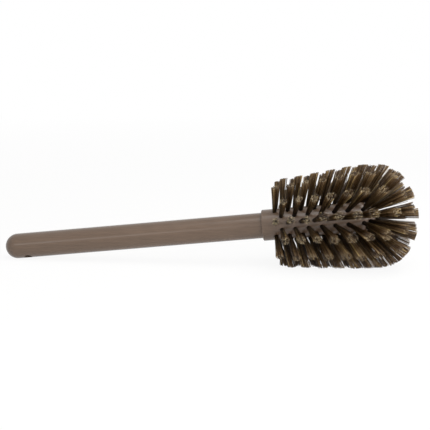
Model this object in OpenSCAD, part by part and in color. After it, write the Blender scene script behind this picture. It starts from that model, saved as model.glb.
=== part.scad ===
// Glass brush: a moulded handle pressed into a moulded head core. The core is drilled
// with staggered rows of blind holes, and each hole holds a bundle of bristle folded over
// a flat wire anchor. The bundles lean further forward from ring to ring and fan out over
// the round nose. The brush is drawn as it lies on a table: the head points to +X, the
// hanging hole is at -X, and the lowest bristles give a little under its weight.

/* [Handle] */
// Length of the handle that shows, from its rounded end to the collar
handle_l = 193.5; // [150:0.5:240]
// Diameter of the handle
handle_d = 18.5; // [16:0.1:20]

/* [Hanging hole] */
// Diameter of the hanging hole
hang_d = 5.6; // [4:0.1:8]
// Distance from the rounded end to the middle of the hole
hang_inset = 17; // [15:0.5:40]
// Depth of the bevel at each mouth of the hole
hang_bevel = 0.8; // [0.6:0.1:1.2]

/* [Head core] */
// Diameter of the head core
core_d = 22.6; // [22:0.1:26]
// Length of the core from the collar's rim to the middle of its round nose
core_l = 70; // [50:0.5:90]
// Bare length of the collar, from its rim to the first ring of bundles
collar_l = 10; // [8:0.5:20]
// Radius of the collar's rounded rim
rim_r = 0.8; // [0.4:0.1:1]

/* [Joint between handle and core] */
// Depth of the socket that takes the handle's full diameter
socket_l = 5.5; // [3:0.5:6.5]
// Diameter of the handle's spigot
spigot_d = 6.4; // [5:0.1:6.6]
// Length of the spigot beyond the socket
spigot_l = 16; // [8:0.5:30]
// Width of the lead-in bevel at the spigot's tip and on the handle's shoulder
lead_in = 0.5; // [0.2:0.1:0.8]
// Clearance all round between pieces that seat in each other
fit_gap = 0.05; // [0.02:0.01:0.08]

/* [Bundle layout] */
// Number of rows round the core, which take the rings in turn
rows = 14; // [10:2:14]
// Distance from one ring to the next along the core
ring_pitch = 4.75; // [4.5:0.05:6]
// Forward lean of the bundles in the first ring, in degrees
rake_back = 8; // [4:0.5:14]
// Forward lean that the rows would reach at the middle of the nose, in degrees
rake_front = 31; // [20:0.5:34]
// Distance behind the middle of the nose of the point that the nose bundles fan out from
fan_back = 4; // [3.5:0.5:6]
// Angle between the core's axis and the first nose bundles of the even rows
nose_wide = 57; // [56:0.5:58]
// Angle between the core's axis and the nose bundles of the odd rows
nose_mid = 47; // [46.5:0.5:48]
// Angle between the core's axis and the last nose bundles of the even rows
nose_close = 37.5; // [37:0.5:38]
// Angle between the core's axis and the bundles round the middle one at the tip
crown_lean = 22; // [21.5:0.5:22.5]
// Turn of those bundles round the axis, from the lowest row
crown_turn = 4.5; // [0:0.5:5.5]

/* [Bundle] */
// Diameter of the drilled hole
hole_d = 3.1; // [2.6:0.1:3.1]
// Depth of the holes in the straight part
hole_depth = 6; // [5:0.1:6.5]
// Depth of the holes in the round nose
nose_depth = 4.5; // [4:0.1:4.5]
// Angle by which the side of a bundle spreads
flare = 3.6; // [2:0.1:4]
// Straight length of a bundle above the hole's mouth
neck_l = 1.2; // [1:0.1:2]

/* [Trimmed form of the bristle] */
// Radius of the trimmed bristle at the first ring
trim_back_r = 31.2; // [26:0.1:34]
// Radius of the trimmed bristle from the middle of the nose to the shoulder
trim_front_r = 36.9; // [34:0.1:40]
// Radius of the trimmed dome, about the point that the nose bundles fan out from
dome_r = 45.5; // [42:0.5:50]
// Radius of the arc that rounds the shoulder off into the dome
shoulder_r = 26; // [20:0.5:27]
// How far the lowest bristles give where the brush lies on them
give = 1; // [0.5:0.1:2]

/* [Wire anchor] */
// Length of the anchor, which bites into the wall on both sides of the hole
anchor_l = 3.5; // [3.3:0.1:3.6]
// Width of the anchor, along the hole
anchor_w = 1.8; // [1.2:0.1:2]
// Thickness of the anchor
anchor_t = 0.35; // [0.25:0.05:0.5]
// Thickness of the folded bristle under the anchor
fold_t = 0.8; // [0.5:0.1:1]
// Clearance all round the anchor
anchor_gap = 0.03; // [0.01:0.01:0.05]

/* [Hidden] */
$fn = 64;
plastic = "#7a6b5e";
bristle = "#4a3e2e";
wire = "#b9bcc0";

handle_r = handle_d / 2;
core_r = core_d / 2;
hang_r = hang_d / 2;
hole_r = hole_d / 2;
bundle_r = hole_r - fit_gap;
spigot_r = spigot_d / 2;

// Places along the axis, from the handle's rounded end
first_u = handle_l + collar_l;
nose_u = handle_l + core_l;
fan_u = nose_u - fan_back;
tip_u = fan_u + dome_r;
seat_u = handle_l + socket_l - fit_gap;
// The middle of the shoulder's arc, which touches the straight part and the dome
arc_r = trim_front_r - shoulder_r;
arc_lead = sqrt((dome_r - shoulder_r) ^ 2 - arc_r ^ 2);

// The rings stop short of the round nose by a hole's radius or more
ring_count = 1 + floor((nose_u - first_u - hole_r) / ring_pitch);
row_step = 360 / rows;
// One bundle round the middle one for every second row
crown_count = rows / 2;
// The hanging hole is in line with the second row
hang_turn = row_step;
// Enough to pass right through anything that is cut
over = 3;
// Longer than any bundle before it is trimmed
raw_l = trim_front_r + dome_r;

// At rest the handle's end and the lowest bristles touch the table
lay_angle = asin((trim_back_r - give - handle_r) / (first_u - handle_r));
rest_x = -((fan_u - handle_r) * cos(lay_angle) + dome_r - handle_r) / 2;

function two_digits(i) = str(i < 10 ? "0" : "", i);
function row_name(kind, i) = str(kind, "_row_", two_digits(i + 1));

// A seat says where a hole is drilled and which way its bundle points:
// [turn round the axis, radius of the mouth, place of the mouth, angle from the axis, depth]
function rake_at(u) = rake_back + (rake_front - rake_back) * (u - first_u) / (nose_u - first_u);
function side_seat(turn, u) = [turn, core_r, u, 90 - rake_at(u), hole_depth];
function fan_reach(lean) = fan_back * cos(lean) + sqrt(core_r ^ 2 - (fan_back * sin(lean)) ^ 2);
function nose_seat(turn, lean) =
    [turn, fan_reach(lean) * sin(lean), fan_u + fan_reach(lean) * cos(lean), lean, nose_depth];
function nose_angles(i) = i % 2 == 0 ? [nose_mid] : [nose_wide, nose_close];
function row_seats(i) = concat(
    [for (k = [i % 2 : 2 : ring_count - 1]) side_seat(i * row_step, first_u + k * ring_pitch)],
    [for (lean = nose_angles(i)) nose_seat(i * row_step, lean)]
);
crown_seats = concat(
    [for (i = [0 : crown_count - 1]) nose_seat(crown_turn + i * 360 / crown_count, crown_lean)],
    [nose_seat(0, 0)]
);

// Lays what is drawn along +Z, from the handle's end up, down on the table
module at_rest()
    translate([rest_x, 0, handle_r])
        rotate([0, 90 - lay_angle, 0])
            translate([0, 0, -handle_r])
                children();

// Puts what is drawn about a hole's mouth, with +Z out of the hole, at a seat
module at_seat(seat)
    rotate([0, 0, -seat[0]])
        translate([seat[1], 0, seat[2]])
            rotate([0, seat[3], 0])
                children();

// A bar whose profile is a half disc on a straight side: r is its radius, z0 to z1 the
// straight part, and the round end is beyond z1
module round_end_profile(r, z0, z1) {
    translate([0, z0]) square([r, z1 - z0]);
    translate([0, z1]) intersection() {
        circle(r);
        square(r);
    }
}

// The handle: a rod with one round end, a shoulder that fills the socket and a spigot
module handle_rod() {
    mirror([0, 0, 1])
        rotate_extrude()
            round_end_profile(handle_r, -seat_u + lead_in, -handle_r);
    translate([0, 0, seat_u - lead_in])
        cylinder(h = lead_in, r1 = handle_r, r2 = handle_r - lead_in);
    translate([0, 0, seat_u])
        cylinder(h = spigot_l - lead_in, r = spigot_r);
    translate([0, 0, seat_u + spigot_l - lead_in])
        cylinder(h = lead_in, r1 = spigot_r, r2 = spigot_r - lead_in);
}

// The cross hole, with a bevel at each mouth
module hang_hole()
    translate([0, 0, hang_inset])
        rotate([0, 0, -hang_turn])
            rotate([0, 90, 0]) {
                cylinder(h = handle_d + 2 * over, r = hang_r, center = true);
                for (side = [0, 1]) mirror([0, 0, side])
                    translate([0, 0, handle_r - hang_bevel])
                        cylinder(h = over, r1 = hang_r, r2 = hang_r + over);
            }

module handle()
    color(plastic) at_rest() difference() {
        handle_rod();
        hang_hole();
    }

// The core before it is drilled: a rounded rim, a straight side and a round nose
module core_blank()
    rotate_extrude() {
        round_end_profile(core_r, handle_l + rim_r, nose_u);
        translate([0, handle_l]) square([core_r - rim_r, rim_r]);
        translate([core_r - rim_r, handle_l + rim_r]) intersection() {
            circle(rim_r);
            translate([0, -rim_r]) square(rim_r);
        }
    }

// The socket for the handle's shoulder and the bore for its spigot
module core_socket() {
    translate([0, 0, handle_l - over])
        cylinder(h = socket_l + over, r = handle_r + fit_gap);
    translate([0, 0, handle_l])
        cylinder(h = socket_l + spigot_l + fit_gap, r = spigot_r + fit_gap);
}

// A blind hole with a flat bottom, and its way out through the core's skin
module drilled_hole(depth)
    translate([0, 0, -depth]) cylinder(h = depth + over, r = hole_r);

// The anchor lies across the hole, on edge; gap makes the slot for it
module anchor(depth, gap = 0)
    translate([-anchor_t / 2 - gap, -anchor_l / 2 - gap, -depth + fit_gap + fold_t - gap])
        cube([anchor_t + 2 * gap, anchor_l + 2 * gap, anchor_w + 2 * gap]);

module brush_head()
    color(plastic) at_rest() difference() {
        core_blank();
        core_socket();
        for (i = [0 : rows - 1]) bored_seats(row_seats(i));
        bored_seats(crown_seats);
    }

module bored_seats(seats)
    for (seat = seats) at_seat(seat) {
        drilled_hole(seat[4]);
        anchor(seat[4], anchor_gap);
    }

// One bundle of bristle: the folded end, the straight shank in the hole and the spread
// length, still untrimmed
module bundle(depth)
    rotate_extrude()
        polygon([
            [0, -depth + fit_gap],
            [bundle_r - fold_t / 2, -depth + fit_gap],
            [bundle_r, -depth + fit_gap + fold_t / 2],
            [bundle_r, neck_l],
            [bundle_r + (raw_l - neck_l) * tan(flare), raw_l],
            [0, raw_l]
        ]);

// The form that the bristle is trimmed to: a taper, a short straight part and a rounded
// shoulder, and over them a dome as far as the cone on which the shoulder's arc ends
module trim_form() {
    rotate_extrude() {
        polygon([
            [0, handle_l],
            [trim_back_r - (trim_front_r - trim_back_r) * collar_l / (nose_u - first_u), handle_l],
            [trim_front_r, nose_u],
            [trim_front_r, fan_u + arc_lead],
            [0, fan_u + arc_lead]
        ]);
        translate([arc_r, fan_u + arc_lead]) intersection() {
            circle(shoulder_r);
            polygon([[0, 0], [dome_r, 0], [dome_r, dome_r], 2 * [arc_r, arc_lead]]);
        }
    }
    translate([0, 0, fan_u]) intersection() {
        sphere(dome_r);
        cylinder(h = dome_r, r1 = 0, r2 = dome_r * arc_r / arc_lead);
    }
}

// The table's top: what reaches below it is pressed back to it
module above_table()
    difference() {
        children();
        translate([-tip_u, -tip_u, -tip_u]) cube([2 * tip_u, 2 * tip_u, tip_u]);
    }

module bundles(seats)
    color(bristle) above_table() at_rest() difference() {
        intersection() {
            for (seat = seats) at_seat(seat) bundle(seat[4]);
            trim_form();
        }
        for (seat = seats) at_seat(seat) anchor(seat[4], anchor_gap);
    }

module anchors(seats)
    color(wire) at_rest()
        for (seat = seats) at_seat(seat) anchor(seat[4]);

handle();
brush_head();
for (i = [0 : rows - 1]) {
    bundles(row_seats(i));
    anchors(row_seats(i));
}
bundles(crown_seats);  // tuft_crown
anchors(crown_seats);  // anchor_crown
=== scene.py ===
"""Glass brush: the finish of its moulded handle and core, and every filament of its bristle.

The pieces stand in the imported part's own frame, in metres, with the brush lying along +X.
"""

import bpy
import numpy as np
from bpy.props import FloatProperty, FloatVectorProperty, IntProperty, PointerProperty
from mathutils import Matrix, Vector


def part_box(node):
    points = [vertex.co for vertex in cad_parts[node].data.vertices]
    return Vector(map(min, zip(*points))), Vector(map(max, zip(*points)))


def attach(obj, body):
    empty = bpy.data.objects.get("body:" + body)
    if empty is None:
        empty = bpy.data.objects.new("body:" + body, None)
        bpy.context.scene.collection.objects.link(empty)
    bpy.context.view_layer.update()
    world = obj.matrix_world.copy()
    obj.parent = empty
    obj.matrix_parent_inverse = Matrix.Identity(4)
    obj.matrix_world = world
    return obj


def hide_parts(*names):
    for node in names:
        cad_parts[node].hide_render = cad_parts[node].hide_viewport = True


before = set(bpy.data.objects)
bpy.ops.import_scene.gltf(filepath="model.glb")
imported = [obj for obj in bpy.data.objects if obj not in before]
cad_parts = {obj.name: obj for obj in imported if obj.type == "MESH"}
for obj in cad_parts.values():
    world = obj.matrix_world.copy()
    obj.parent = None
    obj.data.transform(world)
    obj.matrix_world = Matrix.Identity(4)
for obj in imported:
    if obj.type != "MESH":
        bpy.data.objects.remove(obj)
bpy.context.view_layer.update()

bl_info = {
    "name": "Glass brush",
    "version": (1, 0, 0),
    "blender": (4, 5, 0),
    "location": "View3D > Sidebar > Glass brush",
    "description": "Builds the bristle of a glass brush and finishes its moulded pieces",
    "category": "Object",
}

MM = 0.001
BODY = "root"
WHITE = (1.0, 1.0, 1.0, 1.0)


def linear(hex_code):
    """The linear colour, with full alpha, of an sRGB hex code such as 7a6b5e."""
    srgb = np.array([int(hex_code[i:i + 2], 16) for i in (0, 2, 4)]) / 255
    low, high = srgb / 12.92, ((srgb + 0.055) / 1.055) ** 2.4
    return (*np.where(srgb <= 0.04045, low, high).tolist(), 1.0)


def length(text, value_mm, about):
    """A length that the user can set, given in millimetres and kept in metres."""
    return FloatProperty(name=text, description=about, default=value_mm * MM, unit="LENGTH",
                         subtype="DISTANCE", precision=5)


def angle(text, value_degrees, about):
    """An angle that the user can set, given in degrees and kept in radians."""
    return FloatProperty(name=text, description=about, default=np.radians(value_degrees),
                         unit="ROTATION", subtype="ANGLE")


def colour(text, hex_code, about):
    """A colour that the user can set, given as an sRGB hex code."""
    return FloatVectorProperty(name=text, description=about, default=linear(hex_code), size=4,
                               min=0, max=1, subtype="COLOR")


class BundleLayout(bpy.types.PropertyGroup):
    """Where the core is drilled and which way each bundle points."""
    rows: IntProperty(name="Rows", description="Number of rows round the core", default=14)
    first_ring: length("First ring", 203.5, "Place of the first ring, from the handle's round end")
    ring_pitch: length("Ring pitch", 4.75, "Distance from one ring to the next")
    rake_back: angle("Lean at the back", 8, "Forward lean of the first ring's bundles")
    rake_front: angle("Lean at the front", 31, "Forward lean reached at the middle of the nose")
    fan_back: length("Fan point", 4, "From the nose bundles' common point on to the nose's centre")
    nose_wide: angle("Wide nose angle", 57, "First nose bundles of the even rows, from the axis")
    nose_mid: angle("Middle nose angle", 47, "Nose bundles of the odd rows, from the axis")
    nose_close: angle("Close nose angle", 37.5, "Last nose bundles of the even rows")
    crown_lean: angle("Crown angle", 22, "Bundles round the middle one, from the axis")
    crown_turn: angle("Crown turn", 4.5, "Turn of the crown's bundles from the lowest row")
    hole: length("Hole", 3.1, "Diameter of the drilled holes")


class BristleSettings(bpy.types.PropertyGroup):
    """The filaments of a bundle and the form that they are trimmed to."""
    filaments: IntProperty(name="Filaments", description="Filament ends in a bundle", default=64)
    thickness: length("Filament", 0.35, "Diameter of a filament")
    sunk: length("Sunk", 0.8, "Length of each filament that is drawn inside its hole")
    flare_back: angle("Flare at the back", 3.1, "Spread of the outermost filaments, first ring")
    flare_front: angle("Flare at the front", 4.0, "Spread of the outermost filaments, nose")
    splay: FloatProperty(name="Splay", description="Share more spread where a bundle points down",
                         default=0.5, min=0, max=2)
    bundle_lean: angle("Bundle lean", 0.6, "How far whole bundles lean at random")
    strand_lean: angle("Strand lean", 0.45, "How far the strands within a bundle lean at random")
    clump: FloatProperty(name="Clump", description="How closely a strand's filaments keep together",
                         default=0.45, min=0, max=1, subtype="FACTOR")
    filament_lean: angle("Filament lean", 0.3, "How far single filaments lean at random")
    stray_share: FloatProperty(name="Strays", description="Share of filaments that stand out",
                               default=0.02, min=0, max=1, subtype="FACTOR")
    stray_lean: angle("Stray lean", 3, "How far the strays lean at random")
    bow: length("Bow", 0.2, "Sideways bow of a filament over its length")
    bundle_bow: length("Bundle bow", 0.35, "Sideways bow of a whole bundle over its length")
    wave: length("Wave", 0.05, "Height of the slight wave that the filaments keep")
    ragged: length("Ragged", 0.15, "How unevenly the filaments are cut")
    trim_back: length("Trim at the back", 31.8, "Radius of the trimmed form at the first ring")
    trim_front: length("Trim at the front", 37.5, "Radius of the trimmed form at its shoulder")
    dome: length("Dome", 45.9, "Radius of the trimmed dome about the fan point")
    shoulder: length("Shoulder", 26, "Radius of the arc that rounds the shoulder into the dome")
    seed: IntProperty(name="Seed", description="Start of the random draws", default=6)


class FinishSettings(bpy.types.PropertyGroup):
    """Colours of the pieces."""
    plastic: colour("Plastic", "5f4d3f", "Brown-grey moulded plastic")
    plastic_pale: colour("Plastic, pale", "6a5849", "Where the plastic has flowed paler")
    filament_dark: colour("Filament, dark", "0e0702", "The darkest filaments")
    filament_mid: colour("Filament, brown", "402c14", "Most filaments")
    filament_pale: colour("Filament, pale", "6c583d", "The paler filaments")
    filament_gold: colour("Filament, golden", "9d8655", "The filaments that let light through")
    cut_grey: colour("Cut end, grey", "3f352b", "Cut filament ends")
    cut_gold: colour("Cut end, golden", "bfae8b", "Cut filament ends of the clearer filaments")
    wire: colour("Wire", "b9bcc0", "Flat drawn wire of the anchors")


class StageSettings(bpy.types.PropertyGroup):
    """Camera, floor and lights."""
    view_azimuth: angle("View azimuth", 7.29, "Turn of the camera from straight along +Y")
    view_elevation: angle("View elevation", 10, "Height of the camera above the horizon")
    view_distance: length("View distance", 850, "Distance from the camera to what it looks at")
    focal: FloatProperty(name="Focal length", description="Lens of the camera, in mm",
                         default=97.74, unit="CAMERA")
    sensor_width: FloatProperty(name="Sensor", description="Width of the sensor, in mm",
                                default=36.0, unit="CAMERA")
    target: FloatVectorProperty(name="Target", description="Point that the camera looks at",
                                default=(5.78 * MM, 0, 36.0 * MM), subtype="XYZ", unit="LENGTH")
    key_power: FloatProperty(name="Key light", description="Power of the soft box, in watts",
                             default=10.8, unit="POWER")
    strip_power: FloatProperty(name="Strip light", description="Power of the strip, in watts",
                               default=0.5, unit="POWER")
    side_power: FloatProperty(name="Side light", description="Power of the side box, in watts",
                              default=9.0, unit="POWER")
    top_power: FloatProperty(name="Top light", description="Power of the top box, in watts",
                             default=2.5, unit="POWER")
    ambient: FloatProperty(name="Ambient", description="Strength of the light all round",
                           default=0.42)
    floor_half: length("Floor", 4000, "Half of the floor's width")
    shadow_end: length("Shadow end", 300, "How far from the brush the floor shows a shadow in full")
    white_start: length("White start", 1200, "How far from the brush the floor is pure white")
    floor_glow: FloatProperty(name="Floor glow", description="Share of glow up to the shadow's end",
                              default=0.9, min=0, max=1, subtype="FACTOR")
    paper: colour("Paper", "f2f1ef", "Colour of the floor")


class GlassBrush(bpy.types.PropertyGroup):
    """All the settings of the brush."""
    layout: PointerProperty(type=BundleLayout)
    bristle: PointerProperty(type=BristleSettings)
    finish: PointerProperty(type=FinishSettings)
    stage: PointerProperty(type=StageSettings)


class BrushAxis:
    """The line that the brush is built round. The handle's round end and the core's round nose
    are spheres that touch the sides of their nodes' boxes, and the line joins their centres.
    nose is the place of the nose's centre, counted from the handle's round end."""

    def __init__(self):
        low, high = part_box("handle")
        self.handle_r = (high.y - low.y) / 2
        end = Vector((low.x + self.handle_r, 0, low.z + self.handle_r))
        low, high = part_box("brush_head")
        self.core_r = (high.y - low.y) / 2
        nose = Vector((high.x - self.core_r, 0, high.z - self.core_r))
        self.along = np.array((nose - end).normalized())
        self.down = np.array((self.along[2], 0, -self.along[0]))
        self.side = np.array((0.0, 1.0, 0.0))
        self.start = np.array(end) - self.handle_r * self.along
        self.nose = (nose - end).length + self.handle_r

    def out(self, turn):
        """Unit vectors away from the axis: straight down at no turn, then towards -Y."""
        turn = np.asarray(turn)[:, None]
        return np.cos(turn) * self.down - np.sin(turn) * self.side

    def point(self, place, radius, turn):
        """Points at a place along the axis and a radius from it, in the direction of a turn."""
        place, radius = np.asarray(place)[:, None], np.asarray(radius)[:, None]
        return self.start + place * self.along + radius * self.out(turn)

    def split(self, points):
        """Place along the axis and radius from it, for each point."""
        offset = points - self.start
        place = offset @ self.along
        return place, np.linalg.norm(offset - place[..., None] * self.along, axis=-1)


class Seats:
    """The mouths of a group of drilled holes and the directions of their bundles. A mouth has a
    turn round the axis, a radius and a place along it, and its bundle leans away from the
    axis by an angle."""

    def __init__(self, axis, turn, radius, place, lean):
        turn, lean = np.asarray(turn, float), np.asarray(lean, float)
        self.mouth = axis.point(place, radius, turn)
        self.out_of = np.sin(lean)[:, None] * axis.out(turn) + np.cos(lean)[:, None] * axis.along


def nose_mouth(axis, layout, lean):
    """Radius and place of a nose bundle's mouth: the line from the fan point at that lean meets
    the nose, a sphere whose centre is fan_back further along the axis."""
    beside = layout.fan_back * np.sin(lean)
    reach = layout.fan_back * np.cos(lean) + np.sqrt(axis.core_r ** 2 - beside ** 2)
    return reach * np.sin(lean), axis.nose - layout.fan_back + reach * np.cos(lean)


def row_seats(axis, layout, row):
    """The holes of one lengthwise row: every second ring, then one or two in the nose. The lean
    grows evenly with the place, from the first ring to the middle of the nose."""
    room = axis.nose - layout.first_ring - layout.hole / 2
    rings = np.arange(row % 2, 1 + int(room / layout.ring_pitch), 2)
    place = layout.first_ring + rings * layout.ring_pitch
    share = (place - layout.first_ring) / (axis.nose - layout.first_ring)
    rake = layout.rake_back + (layout.rake_front - layout.rake_back) * share
    lean = np.array((layout.nose_wide, layout.nose_close) if row % 2 else (layout.nose_mid,))
    nose_r, nose_place = nose_mouth(axis, layout, lean)
    turn = np.full(len(place) + len(lean), row * 2 * np.pi / layout.rows)
    return Seats(axis, turn, np.append(np.full(len(place), axis.core_r), nose_r),
                 np.append(place, nose_place), np.append(np.pi / 2 - rake, lean))


def crown_seats(axis, layout):
    """The holes round the nose's middle, one for every second row, and the one in its middle."""
    count = layout.rows // 2
    turn = layout.crown_turn + np.arange(count + 1) * 2 * np.pi / count
    lean = np.append(np.full(count, layout.crown_lean), 0)
    return Seats(axis, turn, *nose_mouth(axis, layout, lean), lean)


def unit(vectors):
    """The vectors at length 1."""
    return vectors / np.linalg.norm(vectors, axis=-1, keepdims=True)


# From this cosine on, a direction counts as one along Y
NEARLY_ALONG = 0.9


def across(directions):
    """Two unit vectors square to each direction and to each other. The first is the cross
    product with Y, or with X where the direction is nearly along Y."""
    off_y = np.abs(directions[..., 1:2]) < NEARLY_ALONG
    helper = np.where(off_y, (0.0, 1.0, 0.0), (1.0, 0.0, 0.0))
    first = unit(np.cross(helper, directions))
    return first, np.cross(directions, first)


def outside_trim(axis, layout, bristle, points):
    """How far the points lie outside the trimmed form, negative inside it. The form is a cone
    up to the middle of the nose, a cylinder from there, and ahead of the fan point a sphere.
    Between the cylinder and the sphere it is a torus, whose arc touches both of them."""
    place, radius = axis.split(points)
    share = (place - layout.first_ring) / (axis.nose - layout.first_ring)
    limit = bristle.trim_back + (bristle.trim_front - bristle.trim_back) * np.minimum(share, 1)
    ahead = place - (axis.nose - layout.fan_back)
    past_dome = np.hypot(np.maximum(ahead, 0), radius) - bristle.dome
    arc_r = bristle.trim_front - bristle.shoulder
    arc_lead = np.sqrt((bristle.dome - bristle.shoulder) ** 2 - arc_r ** 2)
    past_arc = np.hypot(ahead - arc_lead, radius - arc_r) - bristle.shoulder
    on_arc = (ahead > arc_lead) & (radius * arc_lead > ahead * arc_r)
    return np.where(on_arc, past_arc, np.maximum(radius - limit, past_dome))


# Halvings of a bracket of about 90 mm, which leave less than a hundredth of a micrometre
HALVINGS = 24


def trimmed_length(axis, layout, bristle, root, direction):
    """Length at which each filament leaves the trimmed form, found by halving a bracket."""
    low = np.zeros(len(root))
    high = np.full(len(root), 2 * bristle.dome)
    for _ in range(HALVINGS):
        middle = (low + high) / 2
        inside = outside_trim(axis, layout, bristle, root + middle[:, None] * direction) < 0
        low, high = np.where(inside, middle, low), np.where(inside, high, middle)
    return low


# Sunflower angle: points turned by it, one after another, fill a disc evenly
GOLDEN_ANGLE = np.pi * (3 - np.sqrt(5))
# Points along the centre line of a filament, and sides of its tube
PATH_POINTS = 5
SIDES = 5
# A bundle parts into this many strands
STRANDS = 20
# Least and most that the spread of a bundle is multiplied by
SPREAD_FACTORS = (0.85, 1.15)
# Strays are cut shorter by up to this many times the unevenness of the others
STRAY_CUT = 4
# Height of the centre line of a filament that lies on the table, in thicknesses
LYING_HEIGHT = 0.6
# A point that would be below the table is pushed sideways by this share of its depth there
PUSH = 0.8
# Parts of a filament's tone that its strand shares and that are its own
STRAND_TONE = 0.6
OWN_TONE = 0.4
# Filaments beyond this share of the hole's radius are made paler, by at most this much, as a
# painted highlight along the bundle's edge
OUTER_SHARE = 0.85
OUTER_HIGHLIGHT_TONE = 0.12


def sunflower(bundles, count, rng):
    """Where the filaments of each bundle stand, as points of a disc of radius 1, and how far
    they are from its middle. Point number n is turned by n golden angles, at the square root
    of its share of the count, and each bundle's disc is turned at random."""
    number = np.tile(np.arange(count), bundles)
    radius = np.sqrt((number + 0.5) / count)
    around = number * GOLDEN_ANGLE + np.repeat(rng.uniform(0, 2 * np.pi, bundles), count)
    return radius[:, None] * np.stack([np.cos(around), np.sin(around)], 1), radius


def nearest_strand(at, bundles, rng):
    """The strand of each filament, the one of its bundle whose random centre is nearest. The
    strands of all the bundles are numbered through."""
    centres = rng.uniform(-1, 1, (bundles, STRANDS, 2))
    apart = np.linalg.norm(at.reshape(bundles, -1, 1, 2) - centres[:, None], axis=-1)
    return (np.arange(bundles)[:, None] * STRANDS + apart.argmin(-1)).ravel()


def bundle_spread(axis, layout, bristle, seats, rng):
    """How far the outermost filaments of each bundle spread. It grows evenly with the place, up
    to the nose, and again where a bundle points down and is pressed on the table."""
    place, _ = axis.split(seats.mouth)
    share = np.clip((place - layout.first_ring) / (axis.nose - layout.first_ring), 0, 1)
    flare = bristle.flare_back + (bristle.flare_front - bristle.flare_back) * share
    pressed = 1 + bristle.splay * np.maximum(-seats.out_of[:, 2], 0)
    return flare * pressed * rng.uniform(*SPREAD_FACTORS, len(place))


def filament_leans(bristle, spread, at, bundle_of, strand_of, rng):
    """How far each filament leans to the two sides of its bundle's direction, and which ones
    are strays. The lean is the bundle's spread times the filament's point of the disc, drawn
    part of the way to the mean of its strand. The bundle, the strand and the filament each
    add a random lean, and a stray another one."""
    total, bundles = len(at), len(spread)
    strands = bundles * STRANDS
    lean = spread[bundle_of][:, None] * at
    held = np.maximum(np.bincount(strand_of, minlength=strands), 1)
    middle = [np.bincount(strand_of, lean[:, i], strands) / held for i in (0, 1)]
    lean += bristle.clump * (np.stack(middle, 1)[strand_of] - lean)

    lean += rng.normal(0, bristle.bundle_lean, (bundles, 2))[bundle_of]
    lean += rng.normal(0, bristle.strand_lean, (strands, 2))[strand_of]
    lean += rng.normal(0, bristle.filament_lean, (total, 2))
    stray = rng.random(total) < bristle.stray_share
    lean += rng.normal(0, bristle.stray_lean, (total, 2)) * stray[:, None]
    return lean, stray


def sideways_bend(bristle, free, bundles, bundle_of, rng):
    """How far each point of each filament is bent to the two sides. free is its share of the
    filament's free length. The bends are a random bow of the filament and one of its bundle,
    times the square of free, and one turn of a sine wave that grows with free."""
    total = len(free)
    bow = rng.normal(0, bristle.bow, (total, 1, 2))
    bow += rng.normal(0, bristle.bundle_bow, (bundles, 1, 2))[bundle_of]
    bend = bow * (free ** 2)[..., None]
    phase = rng.uniform(0, 2 * np.pi, (total, 1, 2))
    bend += bristle.wave * np.sin(phase + 2 * np.pi * free[..., None]) * free[..., None]
    return bend


def lay_on_table(points, lean_to, height):
    """Lifts the points below a height up to it, and pushes them sideways, the way that their
    filament leans, in proportion to how far below it they were."""
    below = np.maximum(height - points[..., 2], 0)
    points += below[..., None] * PUSH * lean_to[:, None] * (1, 1, 0)
    points[..., 2] = np.maximum(points[..., 2], height)


def filament_tones(radius, strand_of, strands, rng):
    """How pale each filament is, from 0 to 1: a random part that its strand shares, a random
    part of its own, and a random part more at the outside of the bundle, which is a painted
    highlight along its edge."""
    total = len(radius)
    tone = STRAND_TONE * rng.random(strands)[strand_of] + OWN_TONE * rng.random(total)
    # Painted highlight: the filaments at the bundle's edge get a random paleness more
    tone += OUTER_HIGHLIGHT_TONE * rng.random(total) * (radius > OUTER_SHARE)
    return np.clip(tone, 0, 1)


def filament_paths(axis, layout, bristle, seats, rng):
    """Centre lines of all the filaments of a group of bundles, as filament, point, coordinate,
    with each point's share of the free length and each filament's tone. A filament starts a
    little way inside its hole and runs in its bundle's direction plus its lean, until it
    leaves the trimmed form or a little before. Its evenly spaced points are then bent
    sideways, and on to the table where they would pass below it."""
    bundles, count = len(seats.mouth), bristle.filaments
    total = bundles * count
    bundle_of = np.repeat(np.arange(bundles), count)
    forward = unit(seats.out_of)[bundle_of]
    side_a, side_b = across(forward)
    at, radius = sunflower(bundles, count, rng)
    strand_of = nearest_strand(at, bundles, rng)
    spread = bundle_spread(axis, layout, bristle, seats, rng)
    lean, stray = filament_leans(bristle, spread, at, bundle_of, strand_of, rng)

    root_r = (layout.hole - bristle.thickness) / 2
    root = seats.mouth[bundle_of] + root_r * (at[:, :1] * side_a + at[:, 1:] * side_b)
    direction = unit(forward + lean[:, :1] * side_a + lean[:, 1:] * side_b)
    reach = trimmed_length(axis, layout, bristle, root, direction)
    cut = rng.uniform(-bristle.ragged, 0, total)
    cut -= stray * rng.uniform(0, STRAY_CUT * bristle.ragged, total)
    reach += cut

    step = np.linspace(0, 1, PATH_POINTS)
    run = -bristle.sunk + (reach + bristle.sunk)[:, None] * step
    points = root[:, None] + run[..., None] * direction[:, None]
    free = np.clip(run / reach[:, None], 0, 1)
    bend = sideways_bend(bristle, free, bundles, bundle_of, rng)
    points += bend[..., :1] * side_a[:, None] + bend[..., 1:] * side_b[:, None]
    lean_to = unit(lean[:, :1] * side_a + lean[:, 1:] * side_b)
    lay_on_table(points, lean_to, LYING_HEIGHT * bristle.thickness)
    return points, free, filament_tones(radius, strand_of, bundles * STRANDS, rng)


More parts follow.
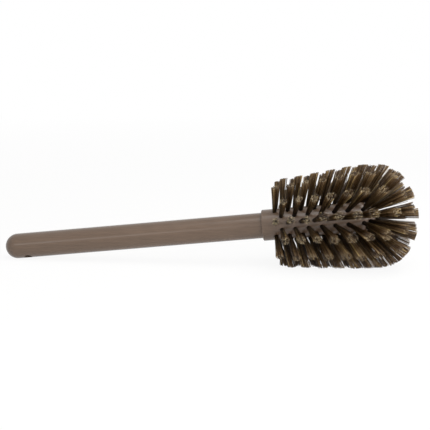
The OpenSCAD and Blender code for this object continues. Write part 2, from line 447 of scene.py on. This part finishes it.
def tube_mesh(name, points, radius, attributes):
    """One mesh of closed round tubes. A tube's surface is its centre line plus a circle of the
    radius in the plane across the line, with a ring of SIDES points for each point of the
    line. Each end is a flat face, and the face at the tip takes the second material."""
    tubes, rings = points.shape[:2]
    tangent = unit(np.gradient(points, axis=1))
    first, _ = across(unit(points[:, -1] - points[:, 0]))
    first = unit(first[:, None] - (first[:, None] * tangent).sum(-1, keepdims=True) * tangent)
    second = np.cross(tangent, first)
    turn = np.arange(SIDES) * 2 * np.pi / SIDES
    circle = np.cos(turn)[:, None] * first[:, :, None] + np.sin(turn)[:, None] * second[:, :, None]
    vertices = (points[:, :, None] + radius * circle).reshape(-1, 3)

    side = np.arange(SIDES)
    after = (side + 1) % SIDES
    ring = (np.arange(rings - 1) * SIDES)[:, None]
    quads = np.stack([ring + side, ring + after, ring + SIDES + after, ring + SIDES + side], -1)
    offset = np.arange(tubes)[:, None] * rings * SIDES
    quads = (offset + quads.reshape(1, -1)).reshape(-1)
    tips = (offset + (rings - 1) * SIDES + side).reshape(-1)
    roots = (offset + side[::-1]).reshape(-1)
    corners = np.concatenate([quads, tips, roots])
    quad_count = len(quads) // 4
    sizes = np.concatenate([np.full(quad_count, 4), np.full(2 * tubes, SIDES)])

    mesh = bpy.data.meshes.new(name)
    mesh.vertices.add(len(vertices))
    mesh.vertices.foreach_set("co", vertices.ravel())
    mesh.loops.add(len(corners))
    mesh.loops.foreach_set("vertex_index", corners)
    mesh.polygons.add(len(sizes))
    mesh.polygons.foreach_set("loop_start", np.concatenate([[0], np.cumsum(sizes)[:-1]]))
    mesh.polygons.foreach_set("use_smooth", sizes == 4)
    is_tip = np.zeros(len(sizes), int)
    is_tip[quad_count:quad_count + tubes] = 1
    mesh.polygons.foreach_set("material_index", is_tip)
    mesh.update(calc_edges=True)
    if mesh.validate():
        raise RuntimeError(f"{name} has faces that meet wrongly")
    for key, values in attributes.items():
        mesh.attributes.new(key, "FLOAT", "POINT").data.foreach_set("value", values.ravel())
    return mesh


def add_node(tree, kind, inputs=None, stops=None, **settings):
    """Adds a node to a tree. inputs gives a socket its value or the socket it is linked from,
    stops gives a colour ramp its places and colours, and settings are the node's own."""
    node = tree.nodes.new(kind)
    for key, value in settings.items():
        setattr(node, key, value)
    for key, value in (inputs or {}).items():
        if isinstance(value, bpy.types.NodeSocket):
            tree.links.new(value, node.inputs[key])
        else:
            node.inputs[key].default_value = value
    if stops:
        elements = node.color_ramp.elements
        while len(elements) < len(stops):
            elements.new(0.5)
        for element, (place, value) in zip(elements, stops):
            element.position, element.color = place, value
    return node


def new_material(name):
    """An empty node material, with its tree."""
    material = bpy.data.materials.new(name)
    material.use_nodes = True
    material.node_tree.nodes.clear()
    return material, material.node_tree


def per(size_mm):
    """Scale of a pattern whose features are about that many millimetres across."""
    return 1 / (size_mm * MM)


# Most values of a noise texture lie between these two
NOISE_LOW = 0.3
NOISE_HIGH = 0.7


def moulded_polypropylene(finish):
    """Polypropylene from a polished mould: satin, evenly coloured through, with faint flow
    clouds, fine lengthwise drag lines from the mould and a grain too fine to see, which is
    drawn about three times as coarse as it is."""
    material, tree = new_material("moulded_polypropylene")
    place = add_node(tree, "ShaderNodeTexCoord").outputs["Object"]
    clouds = add_node(tree, "ShaderNodeTexNoise", {"Vector": place, "Scale": per(22), "Detail": 3})
    lines_at = add_node(tree, "ShaderNodeMapping", {"Vector": place, "Scale": (0.04, 1, 1)})
    lines = add_node(tree, "ShaderNodeTexNoise",
                     {"Vector": lines_at.outputs["Vector"], "Scale": per(1.1), "Detail": 3})
    grain = add_node(tree, "ShaderNodeTexNoise", {"Vector": place, "Scale": per(0.45), "Detail": 2})
    cloud_share = add_node(tree, "ShaderNodeMapRange",
                           {"Value": clouds.outputs["Fac"], "From Min": 0.35, "From Max": 0.75,
                            "To Min": 0.0, "To Max": 0.35})
    clouded = add_node(tree, "ShaderNodeMix",
                       {"Factor": cloud_share.outputs["Result"], "A": finish.plastic,
                        "B": finish.plastic_pale}, data_type="RGBA")
    line_share = add_node(tree, "ShaderNodeMapRange",
                          {"Value": lines.outputs["Fac"], "From Min": NOISE_LOW,
                           "From Max": NOISE_HIGH, "To Min": 0.90, "To Max": 1.06})
    lined = add_node(tree, "ShaderNodeMix",
                     {"Factor": 1.0, "A": clouded.outputs["Result"],
                      "B": line_share.outputs["Result"]}, data_type="RGBA", blend_type="MULTIPLY")
    gloss = add_node(tree, "ShaderNodeMapRange",
                     {"Value": lines.outputs["Fac"], "From Min": NOISE_LOW,
                      "From Max": NOISE_HIGH, "To Min": 0.19, "To Max": 0.26})
    heights = add_node(tree, "ShaderNodeMath",
                       {0: grain.outputs["Fac"], 1: lines.outputs["Fac"]}, operation="ADD")
    bump = add_node(tree, "ShaderNodeBump",
                    {"Height": heights.outputs["Value"], "Strength": 0.25, "Distance": 0.03 * MM})
    shader = add_node(tree, "ShaderNodeBsdfPrincipled",
                      {"Base Color": lined.outputs["Result"], "IOR": 1.49,
                       "Roughness": gloss.outputs["Result"], "Normal": bump.outputs["Normal"]})
    add_node(tree, "ShaderNodeOutputMaterial", {"Surface": shader.outputs["BSDF"]})
    return material


def polyester_filament(finish):
    """Extruded polyester monofilament: smooth and glossy along its length. Each filament has
    its own tone, most dark brown and some golden where light gets through. Their colour is
    darkened towards the root as painted shade, where the bundle is tight, and brightened
    towards the tip as painted light. They reflect less than a filament by itself, because
    their neighbours shade them."""
    material, tree = new_material("polyester_filament")
    tone = add_node(tree, "ShaderNodeAttribute", attribute_name="tone").outputs["Fac"]
    reach = add_node(tree, "ShaderNodeAttribute", attribute_name="reach").outputs["Fac"]
    colours = add_node(tree, "ShaderNodeValToRGB", {"Fac": tone},
                       stops=[(0.0, finish.filament_dark), (0.5, finish.filament_mid),
                              (0.88, finish.filament_pale), (1.0, finish.filament_gold)])
    # Painted shade and light: the colour is darkened towards the root and brightened towards the
    # tip
    painted_shade_and_light = add_node(tree, "ShaderNodeMapRange",
                     {"Value": reach, "From Min": 0.0, "From Max": 1.0, "To Min": 0.2,
                      "To Max": 1.35})
    shaded = add_node(tree, "ShaderNodeMix",
                      {"Factor": 1.0, "A": colours.outputs["Color"],
                       "B": painted_shade_and_light.outputs["Result"]}, data_type="RGBA", blend_type="MULTIPLY")
    shader = add_node(tree, "ShaderNodeBsdfPrincipled",
                      {"Base Color": shaded.outputs["Result"], "IOR": 1.57, "Roughness": 0.3,
                       "Specular IOR Level": 0.17})
    add_node(tree, "ShaderNodeOutputMaterial", {"Surface": shader.outputs["BSDF"]})
    return material


def cut_filament_end(finish):
    """The sawn ends of the filaments: matt and paler than their sides."""
    material, tree = new_material("cut_filament_end")
    tone = add_node(tree, "ShaderNodeAttribute", attribute_name="tone").outputs["Fac"]
    colours = add_node(tree, "ShaderNodeValToRGB", {"Fac": tone},
                       stops=[(0.3, finish.cut_grey), (0.8, finish.cut_gold)])
    shader = add_node(tree, "ShaderNodeBsdfPrincipled",
                      {"Base Color": colours.outputs["Color"], "IOR": 1.57, "Roughness": 0.6})
    add_node(tree, "ShaderNodeOutputMaterial", {"Surface": shader.outputs["BSDF"]})
    return material


def drawn_steel_wire(finish):
    """Flat steel wire, drawn and cut: bright, with fine lines from the die."""
    material, tree = new_material("drawn_steel_wire")
    place = add_node(tree, "ShaderNodeTexCoord").outputs["Object"]
    lines = add_node(tree, "ShaderNodeTexNoise", {"Vector": place, "Scale": per(0.2), "Detail": 2})
    gloss = add_node(tree, "ShaderNodeMapRange",
                     {"Value": lines.outputs["Fac"], "To Min": 0.25, "To Max": 0.45})
    shader = add_node(tree, "ShaderNodeBsdfPrincipled",
                      {"Base Color": finish.wire, "Metallic": 1.0,
                       "Roughness": gloss.outputs["Result"]})
    add_node(tree, "ShaderNodeOutputMaterial", {"Surface": shader.outputs["BSDF"]})
    return material


def white_to_camera(tree, shader, share):
    """Mixes a white glow over a shader for the rays that show the background: those straight
    from the camera and those that a glossy or clear surface sends on. share is how much of
    them is glow."""
    rays = add_node(tree, "ShaderNodeLightPath").outputs
    sent_on = add_node(tree, "ShaderNodeMath",
                       {0: rays["Is Glossy Ray"], 1: rays["Is Transmission Ray"]},
                       operation="MAXIMUM")
    seen = add_node(tree, "ShaderNodeMath",
                    {0: rays["Is Camera Ray"], 1: sent_on.outputs["Value"]},
                    operation="MAXIMUM")
    part = add_node(tree, "ShaderNodeMath", {0: seen.outputs["Value"], 1: share},
                    operation="MULTIPLY")
    white = add_node(tree, "ShaderNodeEmission", {"Color": WHITE, "Strength": 1.0})
    return add_node(tree, "ShaderNodeMixShader",
                    {"Fac": part.outputs["Value"], 1: shader, 2: white.outputs["Emission"]})


def white_paper(stage):
    """Matt white paper with a white glow over it: most of it near the brush, so that a shadow
    shows, and all of it further out."""
    material, tree = new_material("white_paper")
    diffuse = add_node(tree, "ShaderNodeBsdfDiffuse", {"Color": stage.paper})
    place = add_node(tree, "ShaderNodeTexCoord").outputs["Object"]
    away = add_node(tree, "ShaderNodeVectorMath", {0: place}, operation="LENGTH")
    share = add_node(tree, "ShaderNodeMapRange",
                     {"Value": away.outputs["Value"], "From Min": stage.shadow_end,
                      "From Max": stage.white_start, "To Min": stage.floor_glow, "To Max": 1.0})
    mixed = white_to_camera(tree, diffuse.outputs["BSDF"], share.outputs["Result"])
    add_node(tree, "ShaderNodeOutputMaterial", {"Surface": mixed.outputs["Shader"]})
    return material


def lay_floor(scene, stage):
    """A square of paper at the height of the table, with the brush at its middle."""
    half = stage.floor_half
    mesh = bpy.data.meshes.new("floor")
    mesh.from_pydata([(-half, -half, 0), (half, -half, 0), (half, half, 0), (-half, half, 0)],
                     [], [(0, 1, 2, 3)])
    mesh.materials.append(white_paper(stage))
    floor = bpy.data.objects.new("floor", mesh)
    scene.collection.objects.link(floor)


def light_room(scene, stage):
    """Even light from all round, white to the camera."""
    world = bpy.data.worlds.new("studio")
    world.use_nodes = True
    tree = world.node_tree
    tree.nodes.clear()
    glow = add_node(tree, "ShaderNodeBackground", {"Color": WHITE, "Strength": stage.ambient})
    mixed = white_to_camera(tree, glow.outputs["Background"], 1.0)
    add_node(tree, "ShaderNodeOutputWorld", {"Surface": mixed.outputs["Shader"]})
    scene.world = world


def hang_lamps(scene, stage, target):
    """Area lamps that face the target: a large soft box to the right of the camera and above
    it, a low strip on its left, a side box ahead of the nose and a small box above the head.
    Each row gives a lamp's name, its place from the target, its width and its height, in
    metres, and its power."""
    for name, place, wide, high, power in (
            ("soft_box", (0.34, -0.66, 0.97), 1.0, 1.6, stage.key_power),
            ("strip", (-0.42, -0.98, 0.33), 0.5, 0.12, stage.strip_power),
            ("side_box", (1.0, -0.62, 0.22), 0.6, 0.4, stage.side_power),
            ("top_box", (0.45, 0.12, 0.85), 0.5, 0.3, stage.top_power)):
        lamp = bpy.data.lights.new(name, "AREA")
        lamp.shape, lamp.size, lamp.size_y, lamp.energy = "RECTANGLE", wide, high, power
        light = bpy.data.objects.new(name, lamp)
        light.location = target + Vector(place)
        light.rotation_euler = (target - light.location).to_track_quat("-Z", "Y").to_euler()
        scene.collection.objects.link(light)


def place_camera(scene, stage, target):
    """The camera faces the target from its distance, turned from -Y by the view's azimuth and
    raised by its elevation."""
    lens = bpy.data.cameras.new("camera")
    lens.lens, lens.sensor_width = stage.focal, stage.sensor_width
    camera = bpy.data.objects.new("camera", lens)
    flat = np.cos(stage.view_elevation)
    back = Vector((np.sin(stage.view_azimuth) * flat, -np.cos(stage.view_azimuth) * flat,
                   np.sin(stage.view_elevation)))
    camera.location = target + back * stage.view_distance
    camera.rotation_euler = (-back).to_track_quat("-Z", "Y").to_euler()
    scene.collection.objects.link(camera)
    scene.camera = camera


def settings_of(context):
    """The brush's settings."""
    return context.scene.glass_brush


def dress(node_name, material):
    """Gives a carried-over solid its finish."""
    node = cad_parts[node_name]
    node.data.materials.clear()
    node.data.materials.append(material)


class BRUSH_OT_moulded_pieces(bpy.types.Operator):
    """Finish the handle and the head core as moulded plastic"""
    bl_idname = "glass_brush.moulded_pieces"
    bl_label = "Handle and core"

    def execute(self, context):
        plastic = moulded_polypropylene(settings_of(context).finish)
        for name in ("handle", "brush_head"):
            dress(name, plastic)
        return {"FINISHED"}


class BRUSH_OT_anchors(bpy.types.Operator):
    """Finish the wire anchors that hold the bundles in the core"""
    bl_idname = "glass_brush.anchors"
    bl_label = "Wire anchors"

    def execute(self, context):
        wire = drawn_steel_wire(settings_of(context).finish)
        for name in sorted(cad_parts):
            if name.startswith("anchor_"):
                dress(name, wire)
        return {"FINISHED"}


class BRUSH_OT_bristle(bpy.types.Operator):
    """Make every filament of the bristle, one piece for each row and one for the crown"""
    bl_idname = "glass_brush.bristle"
    bl_label = "Bristle"

    def execute(self, context):
        settings = settings_of(context)
        axis, layout, bristle = BrushAxis(), settings.layout, settings.bristle
        groups = {f"tuft_row_{row + 1:02d}": row_seats(axis, layout, row)
                  for row in range(layout.rows)}
        groups["tuft_crown"] = crown_seats(axis, layout)
        materials = polyester_filament(settings.finish), cut_filament_end(settings.finish)
        rng = np.random.default_rng(bristle.seed)
        for node_name, seats in groups.items():
            points, free, tone = filament_paths(axis, layout, bristle, seats, rng)
            attributes = {"tone": np.repeat(tone, PATH_POINTS * SIDES),
                          "reach": np.repeat(free, SIDES, 1)}
            name = node_name.replace("tuft", "bristle")
            mesh = tube_mesh(name, points, bristle.thickness / 2, attributes)
            for material in materials:
                mesh.materials.append(material)
            piece = bpy.data.objects.new(name, mesh)
            context.scene.collection.objects.link(piece)
            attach(piece, BODY)
            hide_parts(node_name)
        return {"FINISHED"}


class BRUSH_OT_stage(bpy.types.Operator):
    """Set up the floor, the lights and the camera"""
    bl_idname = "glass_brush.stage"
    bl_label = "Stage"

    def execute(self, context):
        stage, scene = settings_of(context).stage, context.scene
        scene.view_settings.view_transform = "Standard"
        target = Vector(stage.target)
        lay_floor(scene, stage)
        light_room(scene, stage)
        hang_lamps(scene, stage, target)
        place_camera(scene, stage, target)
        return {"FINISHED"}


class BRUSH_PT_panel(bpy.types.Panel):
    """Lists the brush's operators and settings"""
    bl_idname = "BRUSH_PT_panel"
    bl_label = "Glass brush"
    bl_space_type = "VIEW_3D"
    bl_region_type = "UI"
    bl_category = "Glass brush"

    def draw(self, context):
        settings = settings_of(context)
        for operator in OPERATORS:
            self.layout.operator(operator.bl_idname)
        for group in (settings.layout, settings.bristle, settings.finish, settings.stage):
            box = self.layout.box()
            for key in group.bl_rna.properties.keys():
                if key not in ("rna_type", "name"):
                    box.prop(group, key)


GROUPS = (BundleLayout, BristleSettings, FinishSettings, StageSettings, GlassBrush)
OPERATORS = (BRUSH_OT_moulded_pieces, BRUSH_OT_anchors, BRUSH_OT_bristle, BRUSH_OT_stage)


def register():
    """Adds the classes, and the settings to the scene."""
    for item in (*GROUPS, *OPERATORS, BRUSH_PT_panel):
        bpy.utils.register_class(item)
    bpy.types.Scene.glass_brush = PointerProperty(type=GlassBrush)


def unregister():
    """Takes the settings and the classes out again."""
    del bpy.types.Scene.glass_brush
    for item in reversed((*GROUPS, *OPERATORS, BRUSH_PT_panel)):
        bpy.utils.unregister_class(item)


def main():
    register()
    bpy.ops.glass_brush.moulded_pieces()
    bpy.ops.glass_brush.anchors()
    bpy.ops.glass_brush.bristle()
    bpy.ops.glass_brush.stage()


if __name__ == "__main__":
    main()
